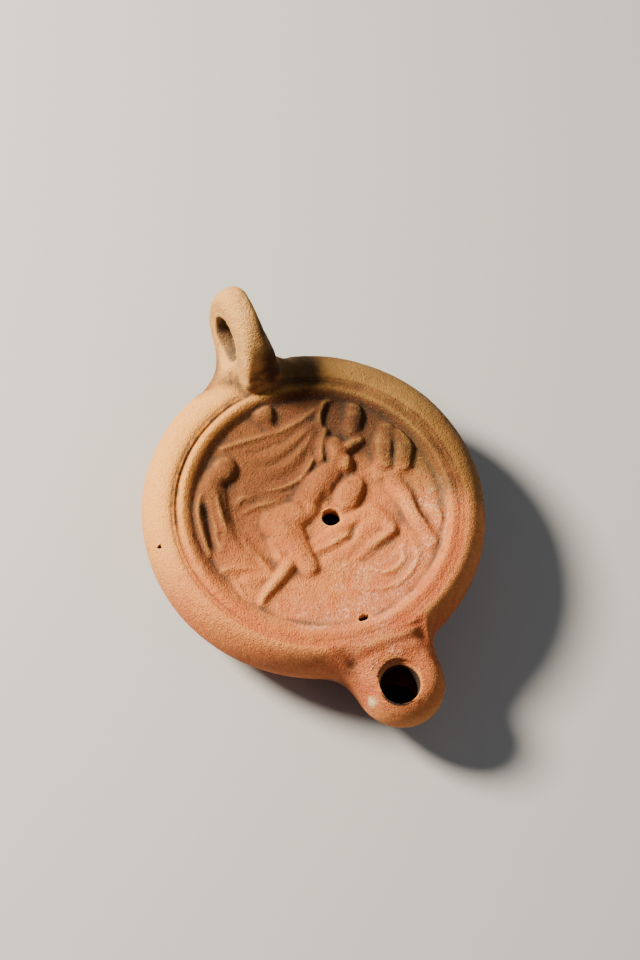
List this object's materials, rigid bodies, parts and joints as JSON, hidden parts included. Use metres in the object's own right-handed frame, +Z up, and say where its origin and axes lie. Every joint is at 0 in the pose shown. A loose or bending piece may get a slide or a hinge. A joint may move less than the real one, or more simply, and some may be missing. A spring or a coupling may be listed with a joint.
{
  "type": "oil lamp",
  "caption": "Mould-made terracotta oil lamp: round hollow body, sunken discus with worn figures in relief, short rounded nozzle with a wick hole and a pierced ring handle",
  "frame": {"origin": "centre of the flat underside of the base, which is where the lamp stands", "axes": "+Z up, nozzle and wick hole toward -Y, pierced handle toward +Y, +X to the right seen from above with the handle at the top"},
  "size_m": [0.084, 0.114, 0.0454],
  "materials": {
    "fired_clay": "matte, granular, unglazed fired clay, buff to orange, with grey dirt in the hollows"
  },
  "bodies": {
    "root": {"lamp": "fired_clay"}
  },
  "joints": []
}
